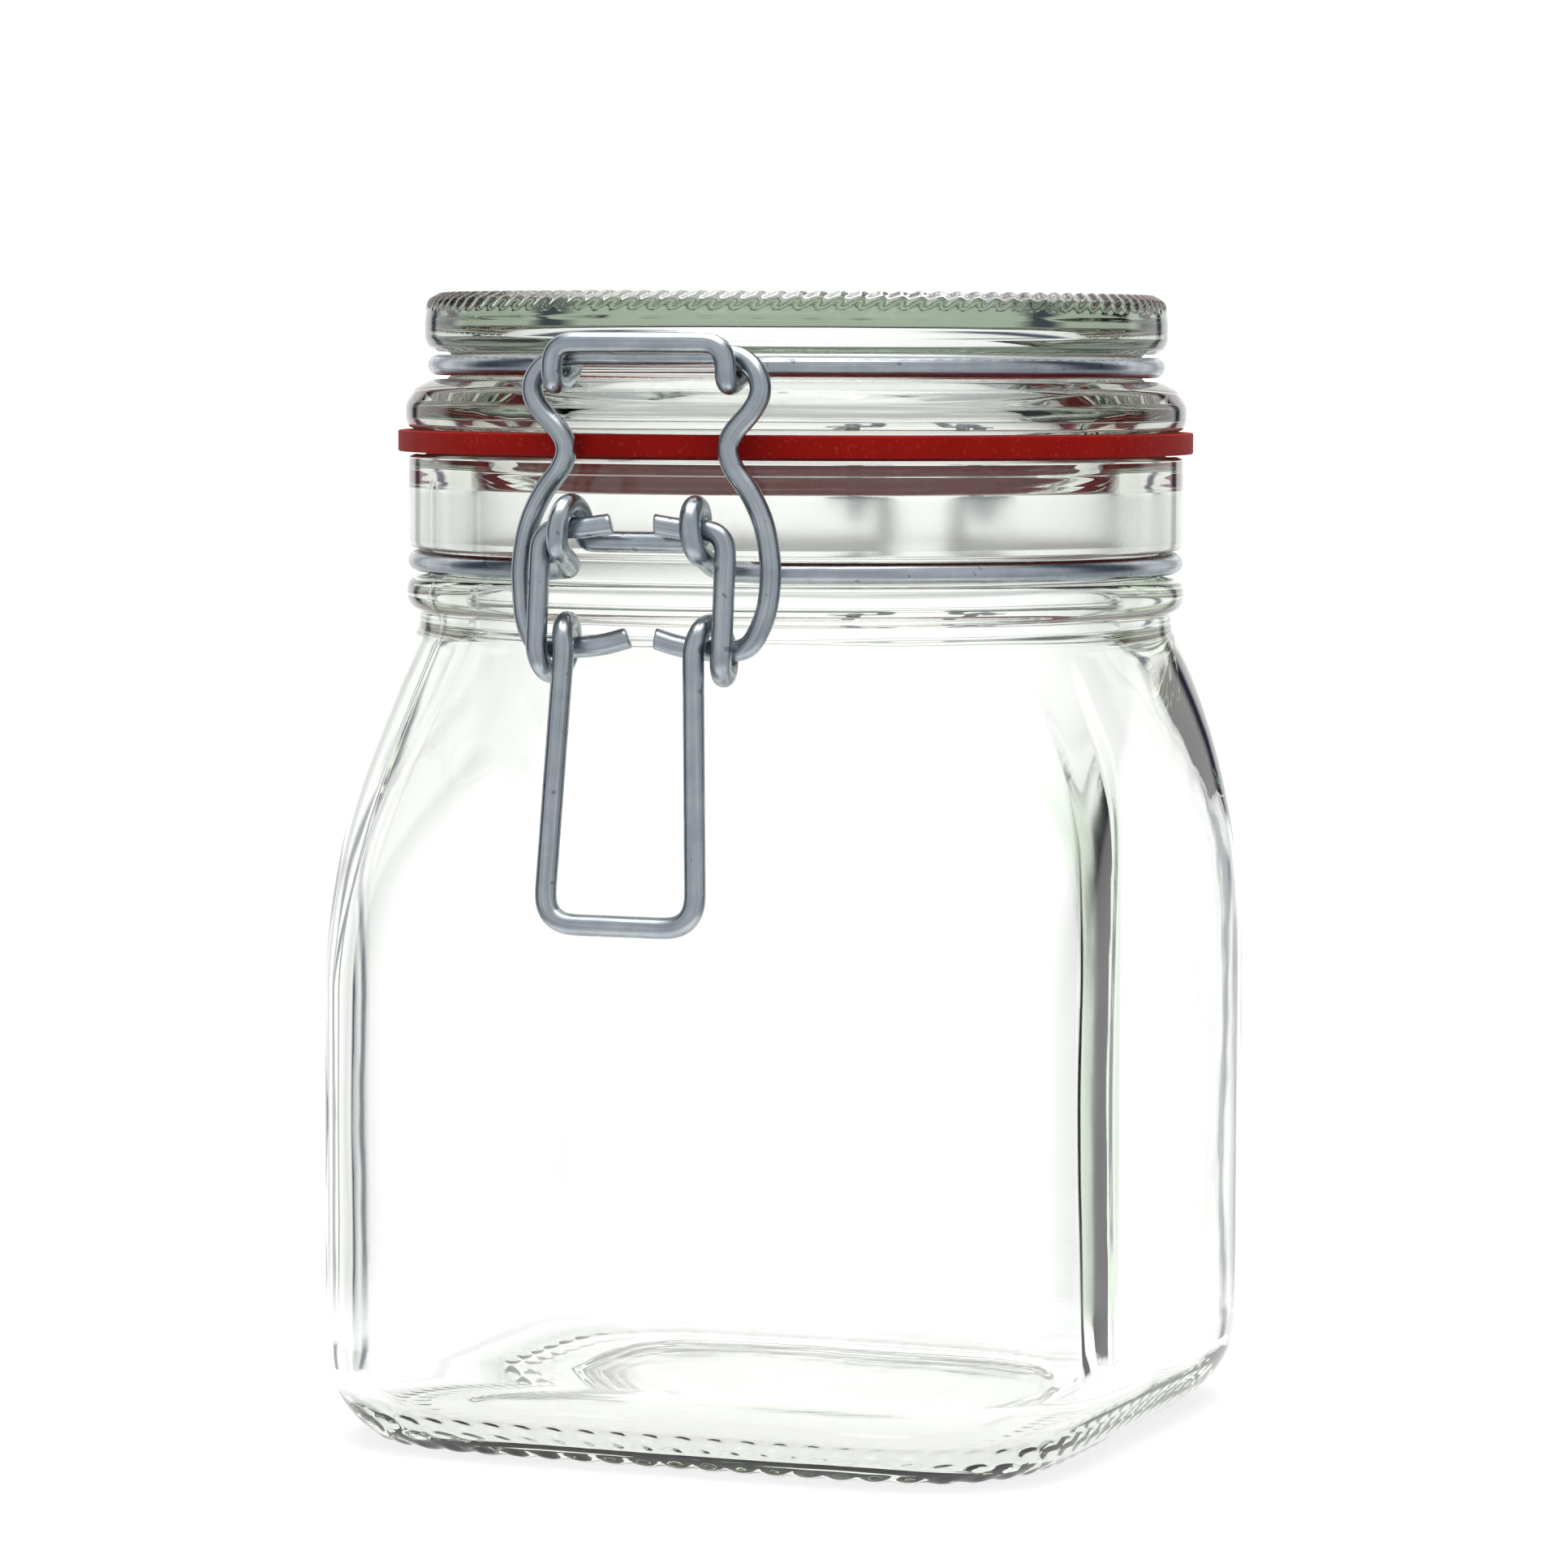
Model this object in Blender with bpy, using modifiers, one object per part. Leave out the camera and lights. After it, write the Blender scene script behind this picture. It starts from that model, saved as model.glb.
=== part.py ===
"""Bail clamp jar: square-bodied preserving jar with a glass lid, a rubber sealing ring and
a four-wire clamp.  Metres, +Z up, the latch on the -Y side and the hinge on the +Y side.
The origin is the centre of the flat base, on the axis of the neck."""
import math

import bmesh
import bpy
from mathutils import Vector

MM = 0.001

# --- turned neck and square body of the jar -------------------------------------------
BODY_HALF = 46.85 * MM         # half the width across the flat walls
BODY_SQUARENESS = 6.0          # exponent of the rounded square that cuts the walls
BELL_RADIUS = 58.45 * MM       # turned radius that reaches out to the corners
NECK_RADIUS = 44.4 * MM        # plain neck, under the bead
SHOULDER_TOP = 94.2 * MM
SHOULDER_FOOT = 53.0 * MM
SHOULDER_CURVE = 1.37
FLAT_BLEND = 40.0              # how sharply the turned shoulder meets the flat walls
BASE_INSET = 8.4 * MM          # how far the foot stands in from the walls
BASE_ROUND = 12.0 * MM         # height of the rounding between foot and walls
WALL = 3.0 * MM
FLOOR = 3.2 * MM
FLOOR_ROUND = 6.5 * MM
MOUTH_RADIUS = 39.0 * MM
MOUTH_FOOT = 97.0 * MM         # where the straight mouth starts to open into the body
BEAD_RADIUS = 45.9 * MM
BEAD_HEIGHT = 98.1 * MM
BEAD_HALF = 2.0 * MM
NECK_GROOVE_RADIUS = 42.9 * MM
COLLAR_RADIUS = 45.7 * MM
COLLAR_FOOT = 103.4 * MM
COLLAR_TOP = 114.3 * MM

# --- sealing ring and lid --------------------------------------------------------------
GAP = 0.3 * MM                 # clearance between pieces that rest on each other
RING_OUTER = 47.0 * MM
RING_INNER = 37.0 * MM
RING_THICKNESS = 2.5 * MM
RING_FOOT = COLLAR_TOP + GAP
LID_FOOT = RING_FOOT + RING_THICKNESS + GAP
LID_TOP = 133.2 * MM
FLANGE_RADIUS = 46.2 * MM
RIM_RADIUS = 43.95 * MM
LID_GROOVE_RADIUS = 40.6 * MM
LID_GROOVE_FOOT = 123.15 * MM
LID_GROOVE_TOP = 126.25 * MM

# --- wires -----------------------------------------------------------------------------
WIRE = 2.45 * MM               # diameter of every wire
NECK_HOOP = (44.5 * MM, 101.8 * MM)      # radius and height of the neck wire's hoop
LID_HOOP = (42.2 * MM, 124.7 * MM)       # radius and height of the lid wire's hoop
EYE_COIL = 2.85 * MM           # radius of the eyes, to the middle of the wire
LOOP_COIL = 2.9 * MM           # radius of the lever's loops, to the middle of the wire
EYE_AXIS = (50.2 * MM, 106.6 * MM)       # lever pivot: distance in front, height
LOOP_AXIS = (48.6 * MM, 93.4 * MM)       # bail pivot: distance in front, height
HINGE_AXIS = (50.5 * MM, 109.0 * MM)     # lid pivot: distance behind, height
EYE_SIDE = 8.4 * MM            # eyes, from the middle plane
ARM_SIDE = 11.1 * MM           # lever arms, from the middle plane
LEG_SIDE = 7.75 * MM           # top of the handle's legs, from the middle plane

SEGMENTS = 48                  # round pieces
HOOP_STEP = math.radians(6.0)  # wire hoops
BEND_STEP = math.radians(20.0)  # bends in the wires


def make_material(name, colour, roughness, metallic=0.0, transmission=0.0):
    material = bpy.data.materials.new(name)
    material.use_nodes = True
    shader = material.node_tree.nodes["Principled BSDF"]
    shader.inputs["Base Color"].default_value = (*colour, 1.0)
    shader.inputs["Roughness"].default_value = roughness
    shader.inputs["Metallic"].default_value = metallic
    shader.inputs["Transmission Weight"].default_value = transmission
    return material


def add_object(name, data, material, collection, pivot=None):
    """Link an object whose data is in world coordinates and put its origin on pivot."""
    obj = bpy.data.objects.new(name, data)
    data.materials.append(material)
    collection.objects.link(obj)
    if pivot is not None:
        obj.location = pivot
    return obj


# --- jar -------------------------------------------------------------------------------
def section_radius(angle, turned, half):
    """Polar radius of a turned bell cut by a rounded square of the given half width."""
    side = (abs(math.cos(angle)) ** BODY_SQUARENESS
            + abs(math.sin(angle)) ** BODY_SQUARENESS)
    square = half / side ** (1.0 / BODY_SQUARENESS)
    return (turned ** -FLAT_BLEND + square ** -FLAT_BLEND) ** (-1.0 / FLAT_BLEND)


def bell_radius(height):
    """Turned radius of the shoulder, from the walls' corners up to the neck."""
    rise = (SHOULDER_TOP - height) / (SHOULDER_TOP - SHOULDER_FOOT)
    rise = min(max(rise, 0.0), 1.0)
    return NECK_RADIUS + (BELL_RADIUS - NECK_RADIUS) * (1.0 - (1.0 - rise) ** SHOULDER_CURVE)


def outer_sections():
    """(height, turned radius, half width) up the outside; no half width where round."""
    sections = []
    for step in range(6):
        turn = math.radians(90.0) * step / 5
        inset = BASE_INSET * (1.0 - math.sin(turn))
        sections.append((BASE_ROUND * (1.0 - math.cos(turn)), BELL_RADIUS - inset,
                         BODY_HALF - inset))
    shoulder_steps = 9
    for step in range(shoulder_steps):
        height = SHOULDER_FOOT + (SHOULDER_TOP - SHOULDER_FOOT) * step / shoulder_steps
        sections.append((height, bell_radius(height), BODY_HALF))
    sections.append((SHOULDER_TOP, NECK_RADIUS, None))
    for lift in (-1.0, -0.6, 0.0, 0.6, 1.0):
        bulge = (BEAD_RADIUS - NECK_RADIUS) * math.sqrt(1.0 - lift * lift)
        sections.append((BEAD_HEIGHT + BEAD_HALF * lift, NECK_RADIUS + bulge, None))
    sections.append((BEAD_HEIGHT + BEAD_HALF + 0.2 * MM, NECK_GROOVE_RADIUS, None))
    sections.append((COLLAR_FOOT - 0.1 * MM, NECK_GROOVE_RADIUS, None))
    sections.append((COLLAR_FOOT, COLLAR_RADIUS - 0.7 * MM, None))
    sections.append((COLLAR_FOOT + 0.8 * MM, COLLAR_RADIUS, None))
    sections.append((COLLAR_TOP - 2.6 * MM, COLLAR_RADIUS - 0.3 * MM, None))
    sections.append((COLLAR_TOP - 0.8 * MM, COLLAR_RADIUS - 0.8 * MM, None))
    sections.append((COLLAR_TOP, COLLAR_RADIUS - 1.8 * MM, None))
    return sections


def inner_sections():
    """(height, turned radius, half width) down the inside of the jar."""
    sections = [(COLLAR_TOP, MOUTH_RADIUS + 0.6 * MM, None),
                (COLLAR_TOP - 0.6 * MM, MOUTH_RADIUS, None),
                (MOUTH_FOOT, MOUTH_RADIUS, None)]
    shoulder_steps = 7
    for step in range(1, shoulder_steps + 1):
        height = MOUTH_FOOT - (MOUTH_FOOT - SHOULDER_FOOT) * step / shoulder_steps
        ease = min(1.0, step / 2.0)
        radius = MOUTH_RADIUS + (bell_radius(height) - WALL - MOUTH_RADIUS) * ease
        sections.append((height, radius, BODY_HALF - WALL))
    for step in range(6):
        turn = math.radians(90.0) * step / 5
        inset = FLOOR_ROUND * (1.0 - math.cos(turn))
        sections.append((FLOOR + FLOOR_ROUND * (1.0 - math.sin(turn)),
                         BELL_RADIUS - WALL - inset, BODY_HALF - WALL - inset))
    return sections


def make_jar(material, collection):
    mesh = bmesh.new()
    foot = mesh.verts.new((0.0, 0.0, 0.0))
    floor = mesh.verts.new((0.0, 0.0, FLOOR))
    rings = []
    for height, turned, half in outer_sections() + inner_sections():
        ring = []
        for index in range(SEGMENTS):
            angle = 2.0 * math.pi * index / SEGMENTS
            radius = turned if half is None else section_radius(angle, turned, half)
            ring.append(mesh.verts.new((radius * math.cos(angle), radius * math.sin(angle),
                                        height)))
        rings.append(ring)
    for index in range(SEGMENTS):
        following = (index + 1) % SEGMENTS
        mesh.faces.new((foot, rings[0][following], rings[0][index]))
        for lower, upper in zip(rings[:-1], rings[1:]):
            mesh.faces.new((lower[index], lower[following], upper[following], upper[index]))
        mesh.faces.new((floor, rings[-1][index], rings[-1][following]))
    data = bpy.data.meshes.new("glass_jar")
    mesh.to_mesh(data)
    mesh.free()
    data.shade_smooth()
    data.set_sharp_from_angle(angle=math.radians(40.0))
    return add_object("glass_jar", data, material, collection)


# --- turned lid and ring ---------------------------------------------------------------
def make_turned(name, profile, closed, material, collection, pivot):
    """Turn a profile of (radius, height) about the jar's axis; the origin is at pivot."""
    centre = Vector(pivot)
    mesh = bmesh.new()
    verts = [mesh.verts.new(Vector((radius, 0.0, height)) - centre) for radius, height in profile]
    for first, second in zip(verts[:-1], verts[1:]):
        mesh.edges.new((first, second))
    if closed:
        mesh.edges.new((verts[-1], verts[0]))
    data = bpy.data.meshes.new(name)
    mesh.to_mesh(data)
    mesh.free()
    obj = add_object(name, data, material, collection, centre)
    axis = bpy.data.objects.new(name + "_axis", None)
    collection.objects.link(axis)
    screw = obj.modifiers.new("turn", "SCREW")
    screw.object = axis
    screw.steps = SEGMENTS
    screw.render_steps = SEGMENTS
    screw.use_merge_vertices = True
    screw.merge_threshold = 0.00005
    screw.use_smooth_shade = True
    return obj


def lid_profile():
    """From the middle of the top, down the outside and back up the hollow underside."""
    wall_in = 36.5 * MM
    lip_foot = LID_FOOT - 3.3 * MM
    lip_radius = RING_INNER - 0.5 * MM
    plate_foot = LID_TOP - 3.9 * MM
    return [
        (0.0, LID_TOP - 0.3 * MM),
        (RIM_RADIUS - 3.2 * MM, LID_TOP - 0.3 * MM),
        (RIM_RADIUS - 2.2 * MM, LID_TOP),
        (RIM_RADIUS - 0.9 * MM, LID_TOP - 0.5 * MM),
        (RIM_RADIUS - 0.2 * MM, LID_TOP - 1.5 * MM),
        (RIM_RADIUS, LID_TOP - 3.0 * MM),
        (RIM_RADIUS, LID_GROOVE_TOP + 1.4 * MM),
        (RIM_RADIUS - 0.4 * MM, LID_GROOVE_TOP + 0.6 * MM),
        (RIM_RADIUS - 1.3 * MM, LID_GROOVE_TOP),
        (LID_GROOVE_RADIUS, LID_GROOVE_TOP),
        (LID_GROOVE_RADIUS, LID_GROOVE_FOOT),
        (FLANGE_RADIUS - 3.2 * MM, LID_GROOVE_FOOT - 0.1 * MM),
        (FLANGE_RADIUS - 1.6 * MM, LID_GROOVE_FOOT - 0.8 * MM),
        (FLANGE_RADIUS - 0.4 * MM, LID_GROOVE_FOOT - 1.9 * MM),
        (FLANGE_RADIUS, LID_GROOVE_FOOT - 3.2 * MM),
        (FLANGE_RADIUS, LID_FOOT + 1.2 * MM),
        (FLANGE_RADIUS - 0.4 * MM, LID_FOOT + 0.4 * MM),
        (FLANGE_RADIUS - 1.2 * MM, LID_FOOT),
        (lip_radius, LID_FOOT),
        (lip_radius, lip_foot + 0.7 * MM),
        (lip_radius - 0.7 * MM, lip_foot),
        (lip_radius - 2.6 * MM, lip_foot),
        (lip_radius - 3.1 * MM, lip_foot + 1.0 * MM),
        (wall_in - 1.5 * MM, LID_FOOT + 3.0 * MM),
        (wall_in, LID_FOOT + 6.5 * MM),
        (wall_in - 0.4 * MM, plate_foot - 1.6 * MM),
        (wall_in - 2.4 * MM, plate_foot),
        (0.0, plate_foot),
    ]


def ring_profile():
    top = RING_FOOT + RING_THICKNESS
    corner = 0.35 * MM
    return [
        (RING_INNER, top),
        (RING_OUTER - corner, top),
        (RING_OUTER, top - corner),
        (RING_OUTER, RING_FOOT + corner),
        (RING_OUTER - corner, RING_FOOT),
        (RING_INNER, RING_FOOT),
    ]


# --- wires -----------------------------------------------------------------------------
def smooth_run(points, pieces=4):
    """Points on a Catmull-Rom curve through the given points."""
    nodes = [Vector(point) for point in points]
    nodes = [nodes[0] * 2 - nodes[1]] + nodes + [nodes[-1] * 2 - nodes[-2]]
    run = []
    for before, start, end, after in zip(nodes[:-3], nodes[1:-2], nodes[2:-1], nodes[3:]):
        for piece in range(pieces):
            t = piece / pieces
            run.append(0.5 * (2 * start + (end - before) * t
                              + (2 * before - 5 * start + 4 * end - after) * t ** 2
                              + (3 * start - before - 3 * end + after) * t ** 3))
    run.append(nodes[-2])
    return run


def bent(points, radius):
    """A wire path through corner points, each corner rounded to the given radius."""
    nodes = [Vector(point) for point in points]
    path = [nodes[0]]
    for before, corner, after in zip(nodes[:-2], nodes[1:-1], nodes[2:]):
        back = (before - corner).normalized()
        ahead = (after - corner).normalized()
        turn = math.pi - back.angle(ahead)
        reach = min(radius * math.tan(turn / 2), 0.48 * (before - corner).length,
                    0.48 * (after - corner).length)
        steps = max(2, round(turn / BEND_STEP))
        start = corner + back * reach
        end = corner + ahead * reach
        for step in range(steps + 1):
            t = step / steps
            path.append((1 - t) ** 2 * start + 2 * t * (1 - t) * corner + t * t * end)
    path.append(nodes[-1])
    return path


def coil(axis, radius, start_side, end_side, start, end, front=-1.0, steps=10):
    """Turns about a crosswise axis.  Angles are degrees in the plane of (outward, up)."""
    points = []
    for step in range(steps + 1):
        share = step / steps
        angle = math.radians(start + (end - start) * share)
        side = start_side + (end_side - start_side) * share
        out = axis[0] + radius * math.cos(angle)
        points.append((side, front * out, axis[1] + radius * math.sin(angle)))
    return points


def hoop_arc(hoop, start, end):
    """Points on the right-hand half of a hoop, angles from the front towards the back."""
    radius, height = hoop
    count = max(2, round((end - start) / HOOP_STEP))
    points = []
    for step in range(count + 1):
        angle = start + (end - start) * step / count
        points.append((radius * math.sin(angle), -radius * math.cos(angle), height))
    return points


def mirrored(points):
    """The whole wire from its right-hand half, which starts at the middle plane."""
    left = [(-point[0], point[1], point[2]) for point in reversed(points[1:])]
    return left + [tuple(point) for point in points]


def make_wire(name, runs, material, collection, pivot):
    """Round wire along each run of world points, with filled ends; origin at pivot."""
    centre = Vector(pivot)
    data = bpy.data.curves.new(name, "CURVE")
    data.dimensions = "3D"
    data.bevel_depth = WIRE / 2
    data.bevel_resolution = 2
    data.use_fill_caps = True
    for run in runs:
        spline = data.splines.new("POLY")
        spline.points.add(len(run) - 1)
        for target, point in zip(spline.points, run):
            target.co = (*(Vector(point) - centre), 1.0)
        spline.use_smooth = True
    return add_object(name, data, material, collection, centre)


def neck_wire_half():
    """Bridge bar, eye, hoop and hinge pin on the right-hand side."""
    out, up = EYE_AXIS
    back = out - EYE_COIL
    bridge_up = up - 1.4 * MM
    eye = coil(EYE_AXIS, EYE_COIL, EYE_SIDE - 1.4 * MM, EYE_SIDE, 180.0, -90.0)
    bridge = bent([(0.0, -back, bridge_up), (EYE_SIDE - 1.4 * MM, -back, bridge_up),
                   eye[0]], 1.4 * MM)
    start = math.asin(13.6 * MM / NECK_HOOP[0])
    end = math.pi - math.asin(9.5 * MM / NECK_HOOP[0])
    hoop = hoop_arc(NECK_HOOP, start, end)
    lead = bent([eye[-1],
                 (EYE_SIDE + 0.2 * MM, -NECK_HOOP[0] - 2.4 * MM, NECK_HOOP[1] + 0.4 * MM),
                 hoop[0]], 4.0 * MM)
    away, height = HINGE_AXIS
    pin_side = 5.4 * MM
    pin = bent([hoop[-1],
                (pin_side, NECK_HOOP[0] + 0.2 * MM, NECK_HOOP[1]),
                (pin_side, away, NECK_HOOP[1] + 0.8 * MM),
                (pin_side, away, height),
                (14.2 * MM, away, height)], 2.6 * MM)
    return bridge[:-1] + eye[:-1] + lead[:-1] + hoop[:-1] + pin


def lid_wire_half():
    """Nose, hoop and hinge eye on the right-hand side."""
    radius, height = LID_HOOP
    nose_out = 48.9 * MM
    nose_up = height + 2.6 * MM
    side = 10.4 * MM
    start = math.asin(14.4 * MM / radius)
    end = math.pi - math.asin(12.6 * MM / radius)
    hoop = hoop_arc(LID_HOOP, start, end)
    nose = bent([(0.0, -nose_out, nose_up),
                 (side, -nose_out, nose_up),
                 (side, -nose_out, height - 2.6 * MM),
                 (side, -radius - 2.2 * MM, height - 1.1 * MM),
                 (side + 0.4 * MM, -radius + 0.9 * MM, height),
                 hoop[0]], 2.8 * MM)
    away, up = HINGE_AXIS
    eye_in = away - EYE_COIL
    eye_side = 9.2 * MM
    leg = bent([hoop[-1],
                (eye_side + 0.2 * MM, radius - 0.3 * MM, height),
                (eye_side, eye_in, height - 0.6 * MM),
                (eye_side, eye_in, up)], 2.6 * MM)
    eye = coil(HINGE_AXIS, EYE_COIL, eye_side, eye_side + 2.7 * MM, 180.0, 490.0, front=1.0,
               steps=12)
    return nose[:-1] + hoop[:-1] + leg[:-1] + eye


def lever_half():
    """Handle bar, leg, loop, arm and pivot stub on the right-hand side."""
    bar_out = 54.0 * MM
    bar_up = 62.9 * MM
    loop = coil(LOOP_AXIS, LOOP_COIL, LEG_SIDE, ARM_SIDE, 0.0, 360.0, steps=14)
    handle = bent([(0.0, -bar_out, bar_up), (9.1 * MM, -bar_out, bar_up), loop[0]], 3.6 * MM)
    out, up = EYE_AXIS
    arm = bent([loop[-1], (ARM_SIDE, -out, up), (EYE_SIDE - 2.6 * MM, -out, up + 0.2 * MM),
                (2.6 * MM, -out, up + 0.65 * MM)], 2.6 * MM)
    return handle[:-1] + loop[:-1] + arm


def bail_half():
    """Top bar, upper lobe, waist, lower lobe and hooked end on the right-hand side."""
    foot_out, foot_up = LOOP_AXIS
    top_up = 125.95 * MM
    top_out = 46.0 * MM
    waist_up = 115.9 * MM
    waist_out = 47.8 * MM
    # millimetres sideways, then millimetres up from the named level
    outline = [(0.0, top_up, 0.0), (9.4, top_up, 0.0), (11.7, top_up, -0.6),
               (13.3, top_up, -2.2), (13.7, top_up, -4.2), (12.6, top_up, -6.2),
               (10.5, top_up, -8.4), (9.65, waist_up, -0.2), (10.3, waist_up, -2.4),
               (12.4, waist_up, -5.2), (14.1, waist_up, -8.8), (14.9, waist_up, -13.4),
               (14.6, waist_up, -17.8), (13.9, foot_up, 2.3), (12.9, foot_up, 0.6),
               (11.2, foot_up, 0.0), (8.0, foot_up, 0.0), (4.6, foot_up, 0.4),
               (1.6, foot_up, 1.2)]
    points = []
    for side, level, lift in outline:
        height = level + lift * MM
        if height > waist_up:
            share = (height - waist_up) / (top_up - waist_up)
            out = waist_out + (top_out - waist_out) * share ** 1.5
        else:
            share = (waist_up - height) / (waist_up - foot_up)
            out = waist_out + (foot_out - waist_out) * share
        points.append((side * MM, -out, height))
    return smooth_run(points, 3)


def build():
    for obj in list(bpy.data.objects):
        bpy.data.objects.remove(obj, do_unlink=True)
    parts = bpy.data.collections.new("bail_clamp_jar")
    bpy.context.scene.collection.children.link(parts)

    glass = make_material("clear_glass", (0.92, 0.96, 0.93), 0.02, transmission=1.0)
    rubber = make_material("red_rubber", (0.42, 0.02, 0.015), 0.55)
    zinc = make_material("zinc_plated_wire", (0.42, 0.44, 0.47), 0.35, metallic=1.0)

    lid_pivot = (0.0, HINGE_AXIS[0], HINGE_AXIS[1])
    lever_pivot = (0.0, -EYE_AXIS[0], EYE_AXIS[1])
    bail_pivot = (0.0, -LOOP_AXIS[0], LOOP_AXIS[1])

    make_jar(glass, parts)
    make_wire("neck_wire", [mirrored(neck_wire_half())], zinc, parts, (0.0, 0.0, 0.0))
    make_turned("glass_lid", lid_profile(), False, glass, parts, lid_pivot)
    make_turned("rubber_ring", ring_profile(), True, rubber, parts, lid_pivot)
    make_wire("lid_wire", [mirrored(lid_wire_half())], zinc, parts, lid_pivot)
    make_wire("lever", [mirrored(lever_half())], zinc, parts, lever_pivot)
    make_wire("bail", [mirrored(bail_half())], zinc, parts, bail_pivot)


build()
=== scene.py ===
"""Looks of the bail clamp jar: clear pressed glass, a red rubber ring and zinc-plated wires,
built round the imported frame.  Metres, +Z up, latch on the -Y side, hinge on the +Y side."""
import math

import bmesh
import bpy
import numpy as np
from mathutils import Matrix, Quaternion, Vector, noise


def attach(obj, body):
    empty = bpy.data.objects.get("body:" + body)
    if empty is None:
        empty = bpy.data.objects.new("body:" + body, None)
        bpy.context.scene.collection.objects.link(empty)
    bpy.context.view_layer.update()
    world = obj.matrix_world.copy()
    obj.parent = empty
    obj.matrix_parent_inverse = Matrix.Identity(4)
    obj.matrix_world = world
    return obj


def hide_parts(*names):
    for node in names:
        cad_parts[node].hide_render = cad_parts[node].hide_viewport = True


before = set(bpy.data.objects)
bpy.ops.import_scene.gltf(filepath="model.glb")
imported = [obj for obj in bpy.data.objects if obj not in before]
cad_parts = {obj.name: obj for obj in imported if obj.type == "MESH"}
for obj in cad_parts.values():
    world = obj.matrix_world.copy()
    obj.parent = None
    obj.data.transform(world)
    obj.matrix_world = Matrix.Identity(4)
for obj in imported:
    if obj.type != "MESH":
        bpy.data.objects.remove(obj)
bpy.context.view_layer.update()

MM = 0.001
TAU = 2.0 * math.pi

# --- camera and studio -----------------------------------------------------------------
VIEW_AZIMUTH = math.radians(21.0)      # camera stands this far round from the latch side
CAMERA_DISTANCE = 0.730                # from the axis of the neck
CAMERA_HEIGHT = 0.1257
CAMERA_LENS = 141.75                   # on a 36 mm sensor
AIM_LEFT = 0.00170                     # tangent of the small turn to the left
AIM_DOWN = 0.06903                     # tangent of the tilt
CAMERA_ROLL = math.radians(0.25)
FLOOR_LEVEL = -0.05 * MM
FLOOR_RADIUS = 0.17
FLOOR_LIGHT = 0.70                     # the pale floor is lit a little from below
WALL_LIGHT = 1.2                       # strength of the white sweep and its surround
FLOOR_FADE = 0.085                     # from here out the floor fades into the white sweep

# --- jar, as in the CAD part -------------------------------------------------------------
BODY_HALF = 46.85
BODY_SQUARENESS = 6.0
BELL_RADIUS = 58.45
NECK_RADIUS = 44.4
SHOULDER_TOP = 94.2
SHOULDER_FOOT = 53.0
SHOULDER_CURVE = 1.37
FLAT_BLEND = 40.0
BASE_INSET = 8.4
BASE_ROUND = 12.0
WALL = 3.0
FLOOR = 3.2
FLOOR_ROUND = 6.5
MOUTH_RADIUS = 39.0
MOUTH_FOOT = 94.2
BEAD_RADIUS = 45.9
BEAD_HEIGHT = 98.1
BEAD_HALF = 2.0
NECK_GROOVE_RADIUS = 42.9
COLLAR_RADIUS = 45.7
COLLAR_FOOT = 103.4
COLLAR_TOP = 114.3

# --- glass ---------------------------------------------------------------------------------
JAR_TINT = (0.71, 0.80, 0.63)          # absorption of the glass
JAR_DENSITY = 24.0
LID_TINT = (0.52, 0.60, 0.48)          # the lid is given a darker glass than the jar
LID_DENSITY = 30.0
MOUTH_ROUGHNESS = 0.18                 # inside of the mouth, below the lip
FOLD_ROUGHNESS = 0.17
# painted shade: sage tint mixed into the surface colour over the fold, darker than the clear glass
FOLD_PAINTED_SHADE = (0.66, 0.80, 0.62, 1.0)

# --- details of the jar that only the looks have -------------------------------------------
NECK_WALL = 5.4                        # wall thickness just under the neck
MOUTH_LEAN = 0.50                      # the mouth narrows by this much just under the lip
# A fold of thicker glass behind the front right corner: (turn in degrees, extra thickness).
FOLD = ((-32.4, 0.0), (-31.7, 0.16), (-30.2, 0.40), (-23.5, 1.10), (-22.6, 0.0))
JAR_SEGMENTS = 512
STIPPLE_HEIGHT = 0.26
STIPPLE_RADIUS = 1.35
STIPPLE_COUNT = 76                     # round the foot
STIPPLE_ROWS = (-2.4, 1.2)             # distance inside the edge of the foot
STIPPLE_STEP = 0.45
FOOT_FLAT = 10.5                       # width of the bearing surface
PUSH_UP = 1.6                          # rise of the middle of the underside
FLOOR_DOME = 0.9                       # rise of the middle of the floor
SEAM_TURNS = (0.125, 0.625)            # mould seams, in turns from +X
SEAM_HEIGHT = 0.10
RIPPLE = 0.10                          # unevenness of the inner wall
RIPPLE_SIZE = 17.0
SCALLOP = 0.05                         # unevenness of the outer wall
SCALLOP_SIZE = 30.0

# --- ring and lid ------------------------------------------------------------------------
RING_OUTER = 47.0
RING_INNER = 37.0
RING_FOOT = 114.6
RING_TOP = 117.1
RING_PRESS = 0.05                      # how far the rubber is pressed onto the glass
LID_FOOT = 117.15
LID_TOP = 133.2
FLANGE_RADIUS = 46.05
RIM_RADIUS = 43.8
LID_GROOVE_RADIUS = 40.6
LID_GROOVE_FOOT = 123.15
LID_GROOVE_TOP = 126.25
LID_SEGMENTS = 920
RIB_COUNT = 115
RIB_HEIGHT = 0.30
RIB_SLANT = 1.5                        # turn of the ribs across the edge, in radians per mm

# --- wires, as in the CAD part ---------------------------------------------------------------
WIRE_RADIUS = 1.20
WIRE_SIDES = 24
WIRE_STEP = 0.40                       # spacing of the rings along a wire
NECK_HOOP = (44.5, 101.8)
LID_HOOP = (42.2, 124.7)
EYE_COIL = 2.85
LOOP_COIL = 2.9
EYE_AXIS = (50.2, 106.6)
LOOP_AXIS = (48.6, 93.4)
HINGE_AXIS = (50.5, 109.0)
EYE_SIDE = 8.4
ARM_SIDE = 11.1
LEG_SIDE = 7.75
BAIL_SKEW = 0.7                        # the bail hangs this much to the right


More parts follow.
